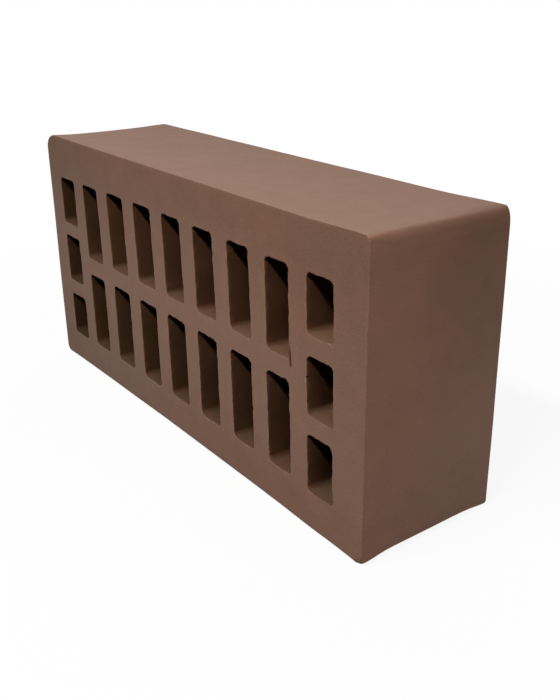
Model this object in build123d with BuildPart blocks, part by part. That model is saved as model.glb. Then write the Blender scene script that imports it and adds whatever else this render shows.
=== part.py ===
import os

from build123d import *

# A perforated clay brick, standing on one of its long sides.
# X runs along the brick, Y the way the clay left its die, Z is up, and the origin is under the middle.

# Driving dimensions of the brick, in millimetres
brick_length = 250.0
brick_width = 120.0
brick_thickness = 65.0
edge_radius = 5.0

# Driving dimensions of the slots, in millimetres
slot_width = 14.5
slot_corner_radius = 2.0
end_wall = 15.75
side_wall = 17.5
long_slot_web = 9.0
short_slot_web = 8.0

# The pattern: columns of two long slots, with a column of three short ones at each end
slot_columns = 9
long_slot_rows = 2
short_slot_rows = 3

# Worked out from the dimensions above
middle_height = brick_width / 2
slot_zone_height = brick_width - 2 * side_wall
column_pitch = (brick_length - 2 * end_wall - slot_width) / (slot_columns - 1)


def stacked_slots(rows, web):
    """One column of slots that fills the height between the side walls."""
    slot_length = (slot_zone_height - (rows - 1) * web) / rows
    with GridLocations(0, slot_length + web, 1, rows):
        RectangleRounded(slot_width, slot_length, slot_corner_radius, mode=Mode.SUBTRACT)


with BuildPart() as brick:
    with BuildSketch(Plane.XZ):
        with Locations((0, middle_height)):
            RectangleRounded(brick_length, brick_width, edge_radius)
            with GridLocations(column_pitch, 0, slot_columns - 2, 1):
                stacked_slots(long_slot_rows, long_slot_web)
            with GridLocations(column_pitch * (slot_columns - 1), 0, 2, 1):
                stacked_slots(short_slot_rows, short_slot_web)
    extrude(amount=brick_thickness / 2, both=True)

brick.part.label = "brick"
os.makedirs("parts", exist_ok=True)
export_step(brick.part, "parts/brick.step")
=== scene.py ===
import math
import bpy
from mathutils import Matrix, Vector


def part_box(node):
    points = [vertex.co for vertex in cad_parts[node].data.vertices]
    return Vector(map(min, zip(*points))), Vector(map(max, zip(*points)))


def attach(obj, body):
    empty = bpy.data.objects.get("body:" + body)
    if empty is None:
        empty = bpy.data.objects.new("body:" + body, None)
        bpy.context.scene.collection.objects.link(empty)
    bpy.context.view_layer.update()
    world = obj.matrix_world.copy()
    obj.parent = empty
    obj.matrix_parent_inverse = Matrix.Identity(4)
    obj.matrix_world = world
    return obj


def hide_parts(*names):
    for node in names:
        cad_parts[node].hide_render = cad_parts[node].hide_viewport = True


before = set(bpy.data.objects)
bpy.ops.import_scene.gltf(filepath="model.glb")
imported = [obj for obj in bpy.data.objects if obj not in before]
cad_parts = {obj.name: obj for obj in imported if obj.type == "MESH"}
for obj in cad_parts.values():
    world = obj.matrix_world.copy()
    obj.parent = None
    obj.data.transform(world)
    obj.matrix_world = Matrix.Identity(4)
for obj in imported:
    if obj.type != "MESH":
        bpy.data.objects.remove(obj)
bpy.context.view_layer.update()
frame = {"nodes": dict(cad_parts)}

from types import SimpleNamespace

import bpy
import numpy as np
from mathutils import Matrix, Vector

mm = 0.001
boxLow, boxHigh = (np.array(corner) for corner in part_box("brick"))
print("frame loaded:", ", ".join(frame["nodes"]))


# smooth noise of about -1 to 1: cosines of one rough wavelength, each in a random direction, added up
def waves(points, length, seed, count=24):
    draw = np.random.default_rng(seed)
    direction = draw.normal(size=(count, 3))
    direction /= np.linalg.norm(direction, axis=1, keepdims=True)
    turns = 2 * np.pi / (length * draw.uniform(0.7, 1.4, count))
    phase = draw.uniform(0, 2 * np.pi, count)
    return np.cos(points @ (direction * turns[:, None]).T + phase).sum(-1) / math.sqrt(count)


# 0 up to start, 1 from start + over on, and the S-shaped cubic between
def riseOver(value, start, over):
    share = np.clip((value - start) / over, 0, 1)
    return share * share * (3 - 2 * share)


# 1 at no offset, falling off on both sides as e to the minus square
def bell(offset, width):
    return np.exp(-(offset / width) ** 2)


# the brick's own shape: the slots' even pitch as in the CAD model, and what die, wire and kiln did to it.
# A pair whose name ends in From says where a change begins, and over what stretch it comes
brickForm = {
    "columnPitch": 25.5 * mm,
    # the die's cores stand a little off that. By column, from the left one on, in mm:
    "columnDrift": (-1.5, -1.0, 0.0, 0.8, 0.8, 0.6, 0.1, -0.8, -1.5),
    "columnWidths": (15.2, 15.2, 15.8, 15.3, 14.8, 14.4, 14.2, 13.8, 14.2),
    # by row, from the lowest up: a slot's foot and top in mm, and its lean to the right for each mm up,
    # in the first, the middle and the last column of long slots
    "longRows": (
        ((16.8, 54.2, -0.006), (17.5, 55.9, -0.017), (17.8, 56.3, -0.030)),
        ((63.0, 99.6, -0.021), (64.9, 100.8, -0.040), (65.2, 100.4, -0.026)),
    ),
    # the same in the two columns of short slots, at the left end and at the right one
    "shortRows": (
        ((15.7, 37.6, 0.022), (16.4, 39.8, -0.033)),
        ((45.5, 69.3, -0.019), (47.5, 70.2, -0.021)),
        ((76.3, 99.1, 0.0), (78.5, 100.8, -0.019)),
    ),
    "columnLean": -0.011,       # drift of a slot to the right for each mm above half height
    "halfHeight": 59 * mm,
    "slotCorners": (1.9, 1.5, 2.0, 2.0),    # mm: lower left, lower right, upper right, upper left
    "floorFrom": (0.35, 0.25),  # how far a slot's wall faces up where its floor begins
    "bedInset": 0.25 * mm,      # the wire cut lies this far inside the CAD face
    "lip": 0.35 * mm,           # rounding of the cut edges
    "lipBand": 1.0 * mm,        # width of the band along the slots' lips that is worn pale, partly a painted highlight
    "webReach": 5.0 * mm,       # about half a web

    # the four long edges, rounded as ellipses, in mm along X and Z:
    # lower left, lower right, upper right, upper left
    "edgesBody": ((6.0, 6.0), (4.9, 5.1), (4.1, 6.2), (12.5, 10.5)),
    "edgesFront": ((3.7, 3.7), (1.8, 1.8), (3.3, 2.4), (10.3, 7.4)),    # where the front cut flares them
    "edgesBack": ((4.5, 4.5), (3.4, 3.4), (2.9, 6.5), (8.0, 7.0)),
    "flareFront": (8.0, 8.5, 6.0, 8.0),     # mm, how far the flares reach along the same edges
    "flareBack": (6.0, 7.0, 6.0, 13.0),

    "wornFoot": 1.9 * mm,       # radius to which the right end's front foot is worn
    "wornFrom": (-2.01 * mm, 3.0 * mm),
    "pinch": 0.40 * mm,         # how far the right end draws in at the front cut
    "pinchDepth": 5.0 * mm,
    "pinchFrom": (118 * mm, 7 * mm),
    "topDrop": 0.50 * mm,       # the upper face lies this much low, and rises again to its right end
    "topFrom": (104 * mm, 14 * mm),
    "curlFrom": (92 * mm, 28 * mm),
    "lipRise": 0.22 * mm,       # rise of the front cut's edge at the upper left corner
    "lipRiseDepth": 4.0 * mm,
    "lipRiseFrom": (70 * mm, 45 * mm),      # to the left of the middle
    "arch": 1.45 * mm,          # hollow of the underside along the brick
    "archReach": 30 * mm,
    "footLift": 0.57 * mm,      # rise of the underside towards the front cut
    "footDepth": 5.0 * mm,
    "footDip": 0.5,             # loss of that rise at one place near the right end, and at the end itself
    "footDipAt": 95 * mm,
    "footDipHalf": 12 * mm,
    "footEnd": 0.7,
    "footEndFrom": (119 * mm, 6 * mm),

    "wander": 0.09 * mm,        # how far the slot walls stray from true, in long waves along the slot
    "wanderLength": 16 * mm,
    "wanderStretch": 0.12,
    "wanderSeed": 11,
    "ragged": 0.15 * mm,        # tearing of the slot lips
    "raggedLength": 3.2 * mm,
    "raggedDepth": 1.2 * mm,
    "raggedSeed": 12,
    "unevenness": 0.14 * mm,    # slow swell of all faces, whose crests reach the true faces
    "swellLength": 45 * mm,
    "swellCrest": 1.5,
    "swellSeed": 21,

    # how far the outside faces up or down where its colour changes: dust with a painted sheen, painted shade
    # on the upper long edges, painted light on the underside
    "dustFrom": (0.76, 0.23),
    "edgeDownFrom": (-0.90, 0.35),
    "edgeUpFrom": (0, 0.35),
    "underFrom": (0, 0.7),

    # the mesh: cells around the slots, steps across a cell and up the rows, and loops through the brick
    "cellHeights": (12.5, 43.6, 60.6, 74.2, 106.0),     # mm, where the cells meet
    "cellSteps": 16,
    "rowSteps": (26, 13, 13, 26),
    "slotSteps": 18,
    "slotBed": (1, 0.7, 0.44, 0.24, 0.1),   # loops on the bed face, 1 at the cell's edge and 0 at the lip
    "slotCrowd": 0.5,           # how much the points crowd towards the corners
    "sideSteps": 28,
    "sideBed": (1, 0.84, 0.68, 0.53, 0.39, 0.26, 0.15, 0.06),
    "sideCrowd": 0.9,
    "weld": 0.001 * mm,
}


# the slots of one column, from the lowest up, each as foot, top, middle, width and lean:
# rows of long slots rise and lean along parabolas through three columns, and each column drifts as a whole
def columnSlots(form, column):
    last = len(form["columnDrift"]) - 1
    if column in (0, last):
        rows = [ends[column // last] for ends in form["shortRows"]]
    else:
        along = (column - last / 2) / (last / 2 - 1)    # -1 in the first column of long slots, 1 in the last
        rows = [
            middle + along * (right - left) / 2 + along ** 2 * ((left + right) / 2 - middle)
            for left, middle, right in np.array(form["longRows"])
        ]
    place = (column - last / 2) * form["columnPitch"] + form["columnDrift"][column] * mm
    slots = []
    for foot, top, lean in rows:
        drift = form["columnLean"] * ((foot + top) / 2 * mm - form["halfHeight"])
        slots.append((foot * mm, top * mm, place + drift, form["columnWidths"][column] * mm, lean))
    return slots


# one side of a rounded rectangle, from the middle of one corner to the middle of the next: an eighth of an
# ellipse, a straight, and another eighth, with the points crowded towards the corners.
# A corner is a pair: its radius along the side, and its radius square to it
def sideRun(steps, half, cornerA, cornerB, crowd):
    even = np.arange(steps) / steps
    share = even - crowd * np.sin(2 * np.pi * even) / (2 * np.pi)
    (alongA, inA), (alongB, inB) = cornerA, cornerB
    arcA, arcB = (alongA + inA) * np.pi / 8, (alongB + inB) * np.pi / 8
    straight = 2 * half - alongA - alongB
    run = share * (arcA + straight + arcB) - arcA
    turnA = np.pi / 4 * np.minimum(run, 0) / arcA
    turnB = np.pi / 4 * np.maximum(run - straight, 0) / arcB
    along = alongA - half + np.clip(run, 0, straight) + alongA * np.sin(turnA) + alongB * np.sin(turnB)
    inset = inA * (1 - np.cos(turnA)) + inB * (1 - np.cos(turnB))
    return along, inset


# rounded rectangles, one to a row, anticlockwise from the lower left corner: four side runs, each a quarter
# turn on. radii holds, for each row and corner, the radius along X and the one along Z
def roundedLoops(halfX, halfZ, radii, stepsX, stepsZ, crowd):
    halfX, halfZ = halfX[:, None], halfZ[:, None]
    level = [(radii[:, k, 0, None], radii[:, k, 1, None]) for k in range(4)]
    upright = [pair[::-1] for pair in level]
    low, lowInset = sideRun(stepsX, halfX, level[0], level[1], crowd)
    right, rightInset = sideRun(stepsZ, halfZ, upright[1], upright[2], crowd)
    high, highInset = sideRun(stepsX, halfX, level[2], level[3], crowd)
    left, leftInset = sideRun(stepsZ, halfZ, upright[3], upright[0], crowd)
    x = np.hstack([low, halfX - rightInset, -high, leftInset - halfX])
    z = np.hstack([lowInset - halfZ, right, halfZ - highInset, -left])
    return np.stack([x, z], -1)


# the edge of a stretch of the bed face's lattice, anticlockwise from its lower left corner
def latticeLoop(xs, zs):
    x = np.concatenate([xs[:-1], np.full(len(zs) - 1, xs[-1]), xs[:0:-1], np.full(len(zs) - 1, xs[0])])
    z = np.concatenate([np.full(len(xs) - 1, zs[0]), zs[:-1], np.full(len(xs) - 1, zs[-1]), zs[:0:-1]])
    return np.stack([x, z], -1)


# the way that a loop takes: over the front bed face to the lip, a quarter turn round the lip, through the
# brick in steps that are short near both ends, then the same way out at the back.
# share is 1 on the lattice and 0 at the lip, reach is how far the loop stands off the wall, depth is along Y
def sleevePath(bedShares, lip, tubeSteps, thickness):
    quarter = np.radians([0, 30, 60, 90])
    share = np.concatenate([bedShares, np.zeros(len(quarter))])
    reach = np.concatenate([np.full(len(bedShares), lip), lip * (1 - np.sin(quarter))])
    sink = np.concatenate([np.zeros(len(bedShares)), lip * (1 - np.cos(quarter))])
    tube = (1 - np.cos(np.pi * np.arange(1, tubeSteps) / tubeSteps)) / 2
    tube = lip + (thickness - 2 * lip) * tube
    none = np.zeros(tubeSteps - 1)
    return (
        np.concatenate([share, none, share[::-1]]),
        np.concatenate([reach, none, reach[::-1]]),
        np.concatenate([sink, tube, thickness - sink[::-1]]),
    )


# quads between the rows of a grid of closed loops
def sleeveFaces(rows, around, outwards):
    j = np.arange(around)
    k = (j + 1) % around
    i = np.arange(rows - 1)[:, None] * around
    quads = np.stack([i + j, i + k, i + around + k, i + around + j], -1).reshape(-1, 4)
    return quads[:, ::-1] if outwards else quads


# outward normals of the vertices: cross products of the quads' diagonals, added up at their corners
def vertexNormals(points, faces):
    diagonalA = points[faces[:, 2]] - points[faces[:, 0]]
    diagonalB = points[faces[:, 3]] - points[faces[:, 1]]
    total = np.zeros_like(points)
    np.add.at(total, faces.ravel(), np.repeat(np.cross(diagonalA, diagonalB), 4, axis=0))
    return total / np.linalg.norm(total, axis=1, keepdims=True)


# one slot's loops, each a rounded rectangle sheared by the slot's lean, and the directions from them into
# the clay, which are the loops' tangents turned by a quarter
def slotLoops(form, slot, reach, stepsX, stepsZ):
    foot, top, middle, slotWidth, lean = slot
    corners = np.array(form["slotCorners"])[:, None] * mm + reach[:, None, None] + np.zeros(2)
    halfX, halfZ = slotWidth / 2 + reach, (top - foot) / 2 + reach
    loops = roundedLoops(halfX, halfZ, corners, stepsX, stepsZ, form["slotCrowd"])
    loops[..., 0] += middle + lean * loops[..., 1]
    loops[..., 1] += (foot + top) / 2
    tangent = np.roll(loops, -1, axis=1) - np.roll(loops, 1, axis=1)
    tangent /= np.linalg.norm(tangent, axis=-1, keepdims=True)
    return loops, np.stack([tangent[..., 1], -tangent[..., 0]], -1)


# how far a slot's wall strays into the clay: long waves, and short ones that die out behind the lip
def wallStray(form, loops, y, fromLip):
    y = np.broadcast_to(y[:, None], loops.shape[:2])
    long = np.stack([loops[..., 0], y * form["wanderStretch"], loops[..., 1]], -1)
    short = np.stack([loops[..., 0], y, loops[..., 1]], -1)
    torn = form["ragged"] * np.exp(-fromLip / form["raggedDepth"])[:, None]
    wander = form["wander"] * waves(long, form["wanderLength"], form["wanderSeed"])
    return wander + torn * waves(short, form["raggedLength"], form["raggedSeed"])


# radii of the four long edges at each depth: the body's, passing into the cut faces' by a bell at either end
def edgeRadii(form, depth, thickness):
    body, atFront, atBack = (np.array(form[name]) * mm for name in ("edgesBody", "edgesFront", "edgesBack"))
    reachFront, reachBack = (np.array(form[name]) * mm for name in ("flareFront", "flareBack"))
    flareFront = bell(depth[:, None], reachFront)[..., None]
    flareBack = bell((thickness - depth)[:, None], reachBack)[..., None]
    return body + (atFront - body) * flareFront + (atBack - body) * flareBack


# the whole surface: a sleeve for each slot and one for the outside, welded along the lattice of the bed
# faces. Each point has four traits: cut face, slot wall, slot floor and slot lip
def brickSurface(form):
    length, thickness, width = boxHigh - boxLow
    thickness -= 2 * form["bedInset"]
    front = boxLow[1] + form["bedInset"]
    columns, across = len(form["columnDrift"]), form["cellSteps"]

    # lattice of the bed faces: each slot's cell ends about half way across the webs around it
    marks = np.concatenate([[0], np.cumsum(form["rowSteps"])])
    zLattice = np.interp(np.arange(marks[-1] + 1), marks, form["cellHeights"]) * mm
    xLattice = np.linspace(-columns / 2, columns / 2, columns * across + 1) * form["columnPitch"]

    points, faces, traits = [], [], []

    def keep(loops, depth, trait, outwards):
        rows, around = loops.shape[:2]
        y = np.broadcast_to((front + depth)[:, None], (rows, around))
        faces.append(sleeveFaces(rows, around, outwards) + sum(len(p) for p in points))
        points.append(np.stack([loops[..., 0], y, loops[..., 1]], -1).reshape(-1, 3))
        trait = [np.broadcast_to(values, (rows, around)) for values in trait]
        traits.append(np.stack(trait, -1).reshape(-1, len(trait)))

    # the slots, each a sleeve from its cell on the front bed face to its cell on the back one
    share, reach, depth = sleevePath(form["slotBed"], form["lip"], form["slotSteps"], thickness)
    fromLip = np.minimum(depth, thickness - depth)
    cut = (reach / form["lip"])[:, None]
    lip = bell(share * form["webReach"] + fromLip, form["lipBand"])[:, None]
    for column in range(columns):
        slots = columnSlots(form, column)
        xs = xLattice[column * across:(column + 1) * across + 1]
        rowMarks = marks[[0, 1, 3, 4]] if len(slots) == 3 else marks[[0, 2, 4]]
        for row, slot in enumerate(slots):
            zs = zLattice[rowMarks[row]:rowMarks[row + 1] + 1]
            loops, intoClay = slotLoops(form, slot, reach, across, len(zs) - 1)
            floor = (1 - cut) * riseOver(-intoClay[..., 1], *form["floorFrom"])
            loops = loops + intoClay * wallStray(form, loops, front + depth, fromLip)[..., None]
            loops = loops + share[:, None, None] * (latticeLoop(xs, zs) - loops)
            keep(loops, depth, (cut, 1 - cut, floor, lip), outwards=False)

    # the outside, one sleeve from the edge of the cells on the front bed face to that on the back one
    share, reach, depth = sleevePath(form["sideBed"], form["lip"], form["sideSteps"], thickness)
    radii = edgeRadii(form, depth, thickness) - reach[:, None, None]
    halfX, halfZ = length / 2 - reach, width / 2 - reach
    loops = roundedLoops(halfX, halfZ, radii, columns * across, marks[-1], form["sideCrowd"])
    loops += np.array([0, width / 2])
    loops = loops + share[:, None, None] * (latticeLoop(xLattice, zLattice) - loops)
    cut = (reach / form["lip"])[:, None]
    keep(loops, depth, (cut, 0, 0, 0), outwards=True)

    # the sleeves meet on the lattice, where their points are welded
    points, faces, traits = np.concatenate(points), np.concatenate(faces), np.concatenate(traits)
    grid = np.round(points / form["weld"]).astype(np.int64)
    first, welded = np.unique(grid, axis=0, return_index=True, return_inverse=True)[1:]
    return points[first], welded.ravel()[faces], traits[first]


# how much the upper face curls up at its right end, from 0 to 1
def endCurl(points, form):
    return riseOver(points[:, 0], *form["curlFrom"])


# the right end's front foot, worn to a ball: the three edges that meet there are rounded off, less and less
# with the distance from it
def wearFoot(points, form):
    radius, inwards = form["wornFoot"], np.array([1, -1, -1])
    foot = np.array([boxHigh[0], boxLow[1] + form["bedInset"], boxLow[2]])
    off = (points - foot) * inwards + radius
    beyond = np.maximum(off, 0)
    length = np.maximum(np.linalg.norm(beyond, axis=1, keepdims=True), radius)
    near = riseOver(off, *form["wornFrom"]).prod(axis=1)
    points += (radius / length - 1) * beyond * inwards * near[:, None]


# what drying and firing did: the upper face sinks except at its right end, the underside arches, and the
# right end draws in at the front cut. The two heights fade with the distance from their faces
def brickWarp(points, form):
    x, y, z = points.T
    fromFront = y - boxLow[1] - form["bedInset"]
    high = riseOver(z, *form["topFrom"])
    low = np.clip(1 - z / form["archReach"], 0, 1) ** 2
    arch = form["arch"] * (1 - (x / boxHigh[0]) ** 2)
    foot = form["footLift"] * bell(fromFront, form["footDepth"])
    dip = form["footDip"] * bell(x - form["footDipAt"], form["footDipHalf"])
    foot *= 1 - dip - form["footEnd"] * riseOver(x, *form["footEndFrom"])
    rise = form["lipRise"] * bell(fromFront, form["lipRiseDepth"]) * riseOver(-x, *form["lipRiseFrom"])
    drop = form["topDrop"] * (1 - endCurl(points, form))
    pinch = form["pinch"] * bell(fromFront, form["pinchDepth"]) * riseOver(x, *form["pinchFrom"])
    points[:, 2] += (arch + foot) * low + (rise - drop) * high
    points[:, 0] -= pinch


# the traits that the clay's colour goes by: the surface's own, and how far the outside faces up or down,
# which sets the dust and painted sheen on top, the painted shade on the upper edges and the painted light
# underneath
def clayTraits(form, surfaceTraits, upward):
    traits = dict(zip(("cutFace", "slotWall", "slotFloor", "slotLip"), surfaceTraits.T))
    outside = (1 - traits["slotWall"]) * (1 - traits["cutFace"])
    # dust and a painted sheen on what faces up
    traits["dust"] = outside * riseOver(upward, *form["dustFrom"])
    # painted shade on the upper long edges, which face partly up
    traits["turn"] = outside * riseOver(-upward, *form["edgeDownFrom"])
    traits["turn"] *= riseOver(upward, *form["edgeUpFrom"])
    # painted light on what faces down
    traits["under"] = outside * riseOver(-upward, *form["underFrom"])
    return traits


# a smooth mesh of quads, with one number at each point for each trait
def meshFrom(name, points, faces, traits):
    mesh = bpy.data.meshes.new(name)
    mesh.vertices.add(len(points))
    mesh.vertices.foreach_set("co", points.ravel())
    mesh.loops.add(faces.size)
    mesh.loops.foreach_set("vertex_index", faces.ravel().astype(np.int32))
    mesh.polygons.add(len(faces))
    mesh.polygons.foreach_set("loop_start", np.arange(len(faces), dtype=np.int32) * 4)
    mesh.polygons.foreach_set("use_smooth", np.ones(len(faces), dtype=bool))
    mesh.update(calc_edges=True)
    for trait, values in traits.items():
        attribute = mesh.attributes.new(trait, "FLOAT", "POINT")
        attribute.data.foreach_set("value", values.astype(np.float32))
    mesh.validate()
    return mesh


brickPoints, brickFaces, surfaceTraits = brickSurface(brickForm)
swell = waves(brickPoints, brickForm["swellLength"], brickForm["swellSeed"])
wearFoot(brickPoints, brickForm)
brickNormals = vertexNormals(brickPoints, brickFaces)
upward = brickNormals[:, 2]
flat = 1 - endCurl(brickPoints, brickForm) * np.maximum(upward, 0)      # 0 on top of the curled end
sunk = brickForm["unevenness"] * flat * (swell - brickForm["swellCrest"]) / 2
brickPoints += brickNormals * np.minimum(sunk, 0)[:, None]
brickWarp(brickPoints, brickForm)
brickTraits = clayTraits(brickForm, surfaceTraits, upward)
brick = bpy.data.objects.new("firedBrick", meshFrom("firedBrick", brickPoints, brickFaces, brickTraits))
bpy.context.collection.objects.link(brick)
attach(brick, "root")
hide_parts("brick")
print("brick:", len(brickPoints), "points,", 2 * len(brickFaces), "triangles")


# a shader socket that takes part in sums; plain numbers may stand on either side
class Wire:
    def __init__(self, tree, socket=None):
        self.tree = tree
        self.socket = socket

    def node(self, kind, settings={}, sockets={}, out=0):
        made = self.tree.nodes.new(kind)
        for name, value in settings.items():
            setattr(made, name, value)
        for name, value in sockets.items():
            if isinstance(value, Wire):
                self.tree.links.new(value.socket, made.inputs[name])
            else:
                made.inputs[name].default_value = value
        return Wire(self.tree, made.outputs[out] if len(made.outputs) else None)

    def math(self, operation, a, b=0.0):
        return self.node("ShaderNodeMath", {"operation": operation}, {0: a, 1: b})

    def __add__(self, other):
        return self.math("ADD", self, other)

    def __radd__(self, other):
        return self.math("ADD", other, self)

    def __sub__(self, other):
        return self.math("SUBTRACT", self, other)

    def __rsub__(self, other):
        return self.math("SUBTRACT", other, self)

    def __mul__(self, other):
        return self.math("MULTIPLY", self, other)

    def __rmul__(self, other):
        return self.math("MULTIPLY", other, self)

    def __abs__(self):
        return self.math("ABSOLUTE", self)

    # 0 below low, 1 above high, smooth between
    def rise(self, low, high):
        sockets = {"Value": self, "From Min": low, "From Max": high}
        return self.node("ShaderNodeMapRange", {"interpolation_type": "SMOOTHSTEP"}, sockets)

    # 1 below low, 0 above high, smooth between
    def fall(self, low, high):
        return 1 - self.rise(low, high)

    # first below low, last above high, straight between
    def ramp(self, low, high, first, last):
        sockets = {"Value": self, "From Min": low, "From Max": high, "To Min": first, "To Max": last}
        return self.node("ShaderNodeMapRange", {}, sockets)

    # from one colour to another as this value goes from 0 to 1
    def between(self, colourA, colourB):
        return self.node("ShaderNodeMix", {"data_type": "RGBA"}, {0: self, 6: colourA, 7: colourB}, 2)

    # a colour times this value
    def dim(self, colour):
        return self.node("ShaderNodeVectorMath", {"operation": "SCALE"}, {0: colour, "Scale": self})

    # noise of about -0.5 to 0.5, with patches of one size
    def noise(self, size, detail):
        sockets = {"Vector": self, "Scale": 1 / size, "Detail": detail}
        return self.node("ShaderNodeTexNoise", {}, sockets) - 0.5

    def stretch(self, x, y, z):
        return self.node("ShaderNodeMapping", {}, {"Vector": self, "Scale": (x, y, z)})

    # round grains of one size, soft outside their core, in a share of the cells of a random packing
    def grains(self, cell, radius, share, core=0.6):
        sockets = {"Vector": self, "Scale": 1 / cell}
        spread = self.node("ShaderNodeTexVoronoi", {}, sockets)
        picked = Wire(self.tree, spread.socket.node.outputs["Color"])
        picked = picked.node("ShaderNodeSeparateColor", {}, {0: picked})
        near = spread.fall(core * radius / cell, radius / cell)
        return near * picked.math("LESS_THAN", picked, share)


def newTree(owner):
    owner.use_nodes = True
    owner.node_tree.nodes.clear()
    return Wire(owner.node_tree)


# the clay's looks. Places are in mm, and a pair or four numbers whose name ends in X, Y, Z or Depth is the
# stretch over which a change comes, the four with its values at both ends
clayLook = {
    "redBrown": (0.297, 0.152, 0.102, 1),
    "oliveBrown": (0.265, 0.147, 0.098, 1),
    "ashBrown": (0.277, 0.173, 0.130, 1),
    "dustyLeft": (0.298, 0.193, 0.150, 1),      # the upper face: dust with a painted sheen, greyer towards the left
    "dustyRight": (0.302, 0.189, 0.142, 1),
    "dustyX": (-90, 90),
    "shadedEdge": (0.218, 0.113, 0.074, 1),     # painted shade on the upper long edges, darker than the faces
    "slotWall": (0.205, 0.097, 0.046, 1),       # painted shade inside the slots, darker than the outside
    "slotFloor": (0.162, 0.087, 0.053, 1),
    "paleGrain": (0.46, 0.32, 0.24, 1),
    "darkGrain": (0.12, 0.062, 0.042, 1),
    "roughness": 0.86,
    "specular": 0.0,
    "bump": 0.6,

    # patterns: size and detail of the noise, and what they do to the tone and to the height of the bumps.
    # A packing of grains is the cell's size, the grain's radius and the share of cells that hold one
    "hue": {"size": 17 * mm, "detail": 3, "contrast": 2.6, "atRight": 0.35},
    "mottle": {"size": 9 * mm, "detail": 3, "tone": 0.16, "height": 0.10},
    "grain": {"size": 0.55 * mm, "detail": 1, "tone": 0.28, "height": 0.10, "roughness": 0.12},
    "drag": {"size": 1.3 * mm, "detail": 2, "tone": 0.05, "height": 0.04, "stretch": 0.03},    # along Y
    "pale": {"packing": (3.1 * mm, 0.30 * mm, 0.32), "share": 0.12, "onCut": 0.3, "height": 0.05},
    "dark": {"packing": (3.7 * mm, 0.36 * mm, 0.24), "share": 0.16, "height": -0.10},
    "crumbHighlight": {"size": 2.5 * mm, "detail": 2, "patch": (0.02, 0.2), "share": 0.2},      # paler slot lips: crumbs, and partly a painted highlight

    # painted light and shade: slow changes of tone over the outside
    "rightX": (75, 115),    # the right part of the cut faces
    "end": {
        "startX": (117, 124),
        "shade": 0.25,      # painted shade: the right end is this much darker at its top and back
        "shadeY": (-28, 22),
        "shadeZ": (25, 105),
        "foot": 0.10,       # and this much darker at its foot
        "footY": (-30, 0, 0.3, 1),
        "footZ": (8, 45),
    },
    "front": {
        "shade": 0.11,      # painted shade and light: the cut faces darken away from a place right of their middle,
        "middle": 40,
        "half": 150,
        "shadeZ": (0, 120, 0.4, 1.25),
        "fallZ": (20, 115, 0, 0.085),       # they darken towards the top,
        "midLight": 0.13,       # are this much paler at half height, a painted light, and less so at the right,
        "midLightUpZ": (0, 55),
        "midLightDownZ": (65, 112),
        "rightMidLight": 0.04,
        "rightFoot": 0.08,  # and this much paler at the foot of their right part
        "rightFootZ": (18, 45),
    },
    "top": {
        "shade": 0.028,     # painted light and shade: the top is this much lighter at its front edge, and darker at its back edge,
        "half": 30,
        "corner": 0.25,     # and this much darker at its back right corner
        "cornerX": (117, 123),
        "cornerY": (0, 28),
    },
    "underLight": 0.60,      # painted light: what faces down is this much paler

    # share of the ash brown: more of it low down, on the cut faces and towards their left, and at the back
    "ash": {
        "share": 0.30,
        "middle": 60,
        "perHeight": 0.0045,
        "onCut": 0.42,
        "perLength": 0.0033,
        "perDepth": 0.007,
        "top": 0.27,        # less at the top,
        "topZ": (95, 118),
        "foot": 0.4,        # at the foot of the cut faces,
        "footX": (-150, 40),
        "footZ": (8, 30),
        "end": 0.2,         # at the front feet of the ends,
        "endY": (-30, 10),
        "endZ": (5, 35),
        "web": 0.25,        # and between the last two columns
        "webStartX": (60, 85),
        "webStopX": (95, 112),
        "webZ": (60, 80),
    },

    # painted shade inside the slots: what is left of their colour
    "slots": {
        "mouth": 32.25,     # distance of the bed faces from the middle
        "alongX": (-25, 100, 0.88, 1.10),
        "fadeDepth": (0, 11, 1, 0.56),
        "deepDepth": (6, 12, 0, 1),
        "deepWall": 0.18,   # what the walls lose deep inside, and how much less than that the floors lose
        "deepFloor": 0.36,
        "lowZ": (17, 75, 1, 0),
        "lowWalls": 0.90,   # what is left on walls and floors of the lowest slots
        "lowFloors": 0.70,
        "leftX": (-112, -62, 0.60, 1),
        "rightX": (88, 94),     # the right end's lower slots lose more of it deep inside
        "rightZ": (68, 78),
        "rightDepth": (2.5, 8, 0, 0.42),
    },

    # marks on the front face, along X and Z: a crack and a chip's pit drawn as painted shade, a burr as a
    # painted highlight
    "frontY": (-32, -31),
    "crack": {
        "top": (83.0, 72.8),
        "foot": (83.8, 62.2),
        "edgeX": (0.29, 0.87),          # off its middle line
        "waver": {"size": 2 * mm, "detail": 2, "reach": 0.5},
        "footFade": (-0.02, 0.12),      # as shares of its height
        "topFade": (0.5, 1.0),
        # the painted shade in the crack's slit
        "colour": (0.092, 0.040, 0.022, 1),
    },
    "spots": (
        # a chip's pale facet
        {"middle": (92.3, 60.5), "half": (0.60, 1.4), "tilt": 0, "colour": (0.36, 0.232, 0.174, 1)},
        # the painted shade in the chip's pit
        {"middle": (93.0, 62.1), "half": (0.45, 0.42), "tilt": 0, "colour": (0.04, 0.022, 0.014, 1)},
        # a burr on a slot's lip, drawn as a painted highlight
        {"middle": (105.9, 78.8), "half": (2.2, 0.60), "tilt": 0.34, "colour": (0.285, 0.183, 0.134, 1)},
    ),
    "spotFade": (0.3, 1.1),
}


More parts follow.
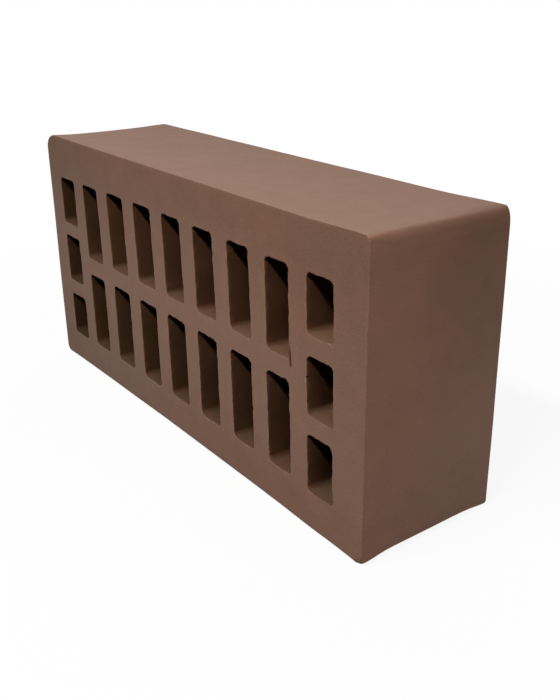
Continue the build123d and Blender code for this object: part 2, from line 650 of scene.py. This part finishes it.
# what the looks are worked out from at each place: coordinates in mm, the mesh's traits, and the patterns
def clayPlace(start, look):
    at = SimpleNamespace(place=start.node("ShaderNodeTexCoord", out="Object"))
    traits = ("cutFace", "slotWall", "slotFloor", "slotLip", "dust", "turn", "under")
    at.cut, at.wall, at.floor, at.lip, at.dust, at.turn, at.under = (
        start.node("ShaderNodeAttribute", {"attribute_name": trait}, out="Fac") for trait in traits
    )
    at.x, at.y, at.z = (
        start.node("ShaderNodeSeparateXYZ", {}, {0: at.place}, axis) * (1 / mm) for axis in "XYZ"
    )
    at.right = at.cut * at.x.rise(*look["rightX"])
    at.depth = look["slots"]["mouth"] - abs(at.y)

    hue, drag, pale, dark = look["hue"], look["drag"], look["pale"], look["dark"]
    patches = at.place.noise(hue["size"], hue["detail"]) * hue["contrast"]
    at.hue = (patches + 0.5 + at.right * hue["atRight"]).rise(0, 1)
    at.mottle = at.place.noise(look["mottle"]["size"], look["mottle"]["detail"])
    at.grain = at.place.noise(look["grain"]["size"], look["grain"]["detail"])
    at.drag = at.place.stretch(1, drag["stretch"], 1).noise(drag["size"], drag["detail"]) * (1 - at.cut)
    at.pale = at.place.grains(*pale["packing"]) * (at.cut * pale["onCut"] + pale["share"])
    at.dark = at.place.grains(*dark["packing"]) * dark["share"]
    return at


# painted light and shade: slow changes of tone over the outside, 1 less the shades and plus the lights of
# the faces
def paintedLightShade(at, look):
    end, front, top = look["end"], look["front"], look["top"]
    onEnd = at.x.rise(*end["startX"]) * (1 - at.cut) * (1 - at.dust)
    endDim = at.y.rise(*end["shadeY"]) * at.z.rise(*end["shadeZ"]) * end["shade"]
    endDim = endDim + at.z.fall(*end["footZ"]) * at.y.ramp(*end["footY"]) * end["foot"]
    tone = 1 - onEnd * endDim

    offMiddle = (at.x - front["middle"]) * (1 / front["half"])
    shade = offMiddle * offMiddle * at.z.ramp(*front["shadeZ"]) * front["shade"] + at.z.ramp(*front["fallZ"])
    midLight = at.z.rise(*front["midLightUpZ"]) * at.z.fall(*front["midLightDownZ"])
    tone = tone - at.cut * (shade - midLight * front["midLight"])
    footLight = at.z.fall(*front["rightFootZ"]) * front["rightFoot"]
    tone = tone - at.right * (midLight * front["rightMidLight"] - footLight)

    corner = at.x.rise(*top["cornerX"]) * at.y.rise(*top["cornerY"]) * top["corner"]
    tone = tone - at.dust * (at.y * (top["shade"] / top["half"]) + corner)
    return tone + at.under * look["underLight"]


# share of the ash brown: straight slopes along the height, the length and the depth, less four patches
def ashShare(at, ash):
    offCut = 1 - at.cut
    share = ash["share"] - (at.z - ash["middle"]) * ash["perHeight"]
    share = share + at.cut * (ash["onCut"] - at.x * ash["perLength"]) + offCut * at.y * ash["perDepth"]
    share = share - at.z.rise(*ash["topZ"]) * ash["top"]
    share = share - at.cut * at.z.fall(*ash["footZ"]) * at.x.rise(*ash["footX"]) * ash["foot"]
    share = share - offCut * at.z.fall(*ash["endZ"]) * at.y.fall(*ash["endY"]) * ash["end"]
    web = at.x.rise(*ash["webStartX"]) * at.x.fall(*ash["webStopX"]) * at.z.rise(*ash["webZ"])
    return share - at.cut * web * ash["web"]


# painted shade inside the slots: what is left of their colour, a product of shares for how far in, how low
# and how far along a place is
def paintedSlotShade(at, slots):
    deep = at.depth.ramp(*slots["deepDepth"]) * (slots["deepWall"] - at.floor * slots["deepFloor"])
    inwards = at.depth.ramp(*slots["fadeDepth"]) * (1 - deep)
    lowDown = at.z.ramp(*slots["lowZ"])
    lowLoss = at.floor * (slots["lowWalls"] - slots["lowFloors"]) + (1 - slots["lowWalls"])
    rightEnd = at.x.rise(*slots["rightX"]) * at.z.fall(*slots["rightZ"]) * (1 - at.floor)
    ends = at.x.ramp(*slots["leftX"]) - rightEnd * at.depth.ramp(*slots["rightDepth"])
    return inwards * (1 - lowDown * lowLoss) * at.x.ramp(*slots["alongX"]) * ends


# the marks on the front face: a wavering line between two points, the painted shade of a crack, and
# elliptical spots, among them painted shade in a chip's pit and a painted highlight on a burr
def markedFront(at, look, colour):
    onFront = at.y.fall(*look["frontY"])
    crack, waver = look["crack"], look["crack"]["waver"]
    (topX, topZ), (footX, footZ) = crack["top"], crack["foot"]
    along = (at.z - footZ) * (1 / (topZ - footZ))       # 0 at the foot of the crack, 1 at its top
    stray = at.place.noise(waver["size"], waver["detail"]) * waver["reach"]
    off = abs(at.x - (topX - footX) * along - footX + stray)
    crackShade = off.fall(*crack["edgeX"]) * along.rise(*crack["footFade"])
    crackShade = crackShade * along.fall(*crack["topFade"]) * onFront
    colour = crackShade.between(colour, crack["colour"])
    for mark in look["spots"]:
        (middleX, middleZ), (halfX, halfZ) = mark["middle"], mark["half"]
        right = (at.x - middleX) * (1 / halfX)
        up = (at.z - middleZ - (at.x - middleX) * mark["tilt"]) * (1 / halfZ)
        spot = (right * right + up * up).fall(*look["spotFade"]) * onFront
        colour = spot.between(colour, mark["colour"])
    return colour


def firedClay(look):
    material = bpy.data.materials.new("firedClay")
    start = newTree(material)
    at = clayPlace(start, look)
    mottle, grain, drag, crumbHighlight = look["mottle"], look["grain"], look["drag"], look["crumbHighlight"]
    tone = 1 + at.mottle * mottle["tone"] + at.grain * grain["tone"] + at.drag * drag["tone"]

    # outside: three browns, dust and a painted sheen on what faces up, painted shade on the upper long
    # edges, painted light and shade over the faces, grains, and paler patches on the slots' lips that are
    # worn and partly a painted highlight
    brown = at.hue.between(look["redBrown"], look["oliveBrown"])
    brown = ashShare(at, look["ash"]).between(brown, look["ashBrown"])
    dusty = at.x.rise(*look["dustyX"]).between(look["dustyLeft"], look["dustyRight"])
    brown = at.dust.between(at.turn.between(brown, look["shadedEdge"]), dusty)
    colour = at.pale.between((tone * paintedLightShade(at, look)).dim(brown), look["paleGrain"])
    colour = at.dark.between(colour, look["darkGrain"])
    crumbHighlightLip = at.lip * at.place.noise(crumbHighlight["size"], crumbHighlight["detail"]).rise(*crumbHighlight["patch"]) * crumbHighlight["share"]
    colour = crumbHighlightLip.between(colour, look["paleGrain"])

    # inside the slots: painted shade, darker deeper in, lower down and towards the ends
    inner = at.floor.between(look["slotWall"], look["slotFloor"])
    colour = at.wall.between(colour, (tone * paintedSlotShade(at, look["slots"])).dim(inner))
    colour = markedFront(at, look, colour)

    height = at.grain * grain["height"] + at.mottle * mottle["height"] + at.drag * drag["height"]
    height = height + at.pale * look["pale"]["height"] + at.dark * look["dark"]["height"]
    bump = start.node("ShaderNodeBump", {}, {"Strength": look["bump"], "Distance": mm, "Height": height})
    sockets = {
        "Base Color": colour,
        "Roughness": at.grain * grain["roughness"] + look["roughness"],
        "Specular IOR Level": look["specular"],
        "Normal": bump,
    }
    surface = start.node("ShaderNodeBsdfPrincipled", {}, sockets)
    start.node("ShaderNodeOutputMaterial", {}, {"Surface": surface})
    return material


brick.data.materials.append(firedClay(clayLook))
print("fired clay material made")


# a white floor: cameras and reflections see a plain glow with a little true shadow near the brick,
# and the light that it throws back at the brick is kept low
floorLook = {
    "reach": 12.0,
    "shadowShare": 0.09,
    "shadowFade": (0.1, 0.45),      # distance from the middle over which the shadow dies out
    "white": (1, 1, 1, 1),
    "paper": (0.9, 0.9, 0.9, 1),
    "bounce": (0.02, 0.02, 0.02, 1),
}


# 1 for rays from the camera and for mirrored or refracted ones
def seenDirectly(start):
    path = start.node("ShaderNodeLightPath").socket.node.outputs
    camera, glossy, refracted = (
        Wire(start.tree, path[name]) for name in ("Is Camera Ray", "Is Glossy Ray", "Is Transmission Ray")
    )
    total = camera + glossy + refracted
    return total.math("MINIMUM", total, 1.0)


def whiteFloor(look):
    mesh = bpy.data.meshes.new("floor")
    reach = look["reach"]
    corners = [(-reach, -reach, 0), (reach, -reach, 0), (reach, reach, 0), (-reach, reach, 0)]
    mesh.from_pydata(corners, [], [(0, 1, 2, 3)])
    material = bpy.data.materials.new("whiteFloor")
    start = newTree(material)
    place = start.node("ShaderNodeTexCoord", out="Object")
    away = start.node("ShaderNodeVectorMath", {"operation": "LENGTH"}, {0: place}, "Value")
    shade = look["shadowShare"] * away.fall(*look["shadowFade"])
    glow = start.node("ShaderNodeEmission", {}, {"Color": look["white"], "Strength": 1.0})
    paper = start.node("ShaderNodeBsdfDiffuse", {}, {"Color": look["paper"]})
    bounce = start.node("ShaderNodeBsdfDiffuse", {}, {"Color": look["bounce"]})
    seen = start.node("ShaderNodeMixShader", {}, {0: shade, 1: glow, 2: paper})
    surface = start.node("ShaderNodeMixShader", {}, {0: seenDirectly(start), 1: bounce, 2: seen})
    start.node("ShaderNodeOutputMaterial", {}, {"Surface": surface})
    mesh.materials.append(material)
    return bpy.data.objects.new("floor", mesh)


floor = whiteFloor(floorLook)
bpy.context.collection.objects.link(floor)
print("floor laid")

# the studio: a dim sky overhead, a long strip of light in front, and soft boxes around the brick
studio = {
    "skyZenith": 0.15,
    "skyEdge": 0.80,        # height of the sky's lower edge, as the sine of its elevation
    "softBoxes": {
        "key": {"place": (0.142, -0.73, 1.05), "size": (0.75, 0.075), "watts": 16.5},
        "overhead": {"place": (-0.9, 0.35, 1.15), "size": (0.9, 0.7), "watts": 2.0},
        "endFill": {"place": (0.85, 0.2, 0.07), "size": (0.7, 0.1), "watts": 2.5},
        "backFill": {"place": (-0.75, 1.2, 0.35), "size": (0.9, 0.5), "watts": 7.0},
    },
}


def studioSky(look):
    world = bpy.data.worlds.new("studioSky")
    bpy.context.scene.world = world
    start = newTree(world)
    direction = start.node("ShaderNodeTexCoord", out="Generated")
    up = start.node("ShaderNodeSeparateXYZ", {}, {0: direction}, "Z")
    strength = up.rise(look["skyEdge"], 1.0) * look["skyZenith"]
    sky = start.node("ShaderNodeBackground", {}, {"Color": (1, 1, 1, 1), "Strength": strength})
    white = start.node("ShaderNodeBackground", {}, {"Color": (1, 1, 1, 1), "Strength": 1.0})
    surface = start.node("ShaderNodeMixShader", {}, {0: seenDirectly(start), 1: sky, 2: white})
    start.node("ShaderNodeOutputWorld", {}, {"Surface": surface})


def softBox(name, look, aim):
    lamp = bpy.data.lights.new(name, "AREA")
    lamp.shape = "RECTANGLE"
    lamp.size, lamp.size_y = look["size"]
    lamp.energy = look["watts"]
    holder = bpy.data.objects.new(name, lamp)
    holder.location = look["place"]
    holder.rotation_euler = (aim - holder.location).to_track_quat("-Z", "Y").to_euler()
    holder.visible_camera = False
    bpy.context.collection.objects.link(holder)


studioSky(studio)
brickMiddle = Vector((boxLow + boxHigh) / 2)
for boxName, boxLook in studio["softBoxes"].items():
    softBox(boxName, boxLook, brickMiddle)
print("studio lit with", len(studio["softBoxes"]), "soft boxes")

# the photograph's camera
photoView = {
    "place": (0.31634, -0.20370, 0.19032),
    "azimuth": 52.140,
    "elevation": 21.274,
    "roll": 0.207,
    "lens": 45.247,     # mm on a sensor whose long side is 36 mm
    "sensor": 36,
    "shift": (-0.0445, -0.0322),    # the picture's middle lies off the lens's axis
    "clipStart": 0.01,
}


# back points from the brick to the camera, and level lies along the picture's foot before the roll
def photoCamera(view):
    azimuth, elevation, roll = (math.radians(view[name]) for name in ("azimuth", "elevation", "roll"))
    away = Vector((math.sin(azimuth), -math.cos(azimuth), 0))
    back = away * math.cos(elevation) + Vector((0, 0, math.sin(elevation)))
    level = Vector((math.cos(azimuth), math.sin(azimuth), 0))
    right = math.cos(roll) * level + math.sin(roll) * back.cross(level)
    camera = bpy.data.objects.new("photoCamera", bpy.data.cameras.new("photoCamera"))
    camera.data.lens = view["lens"]
    camera.data.sensor_width = view["sensor"]
    camera.data.shift_x, camera.data.shift_y = view["shift"]
    camera.data.clip_start = view["clipStart"]
    turn = Matrix((right, back.cross(right), back)).transposed()
    camera.matrix_world = Matrix.Translation(view["place"]) @ turn.to_4x4()
    bpy.context.collection.objects.link(camera)
    return camera


scene = bpy.context.scene
scene.camera = photoCamera(photoView)
scene.view_settings.view_transform = "Standard"
print("camera placed")
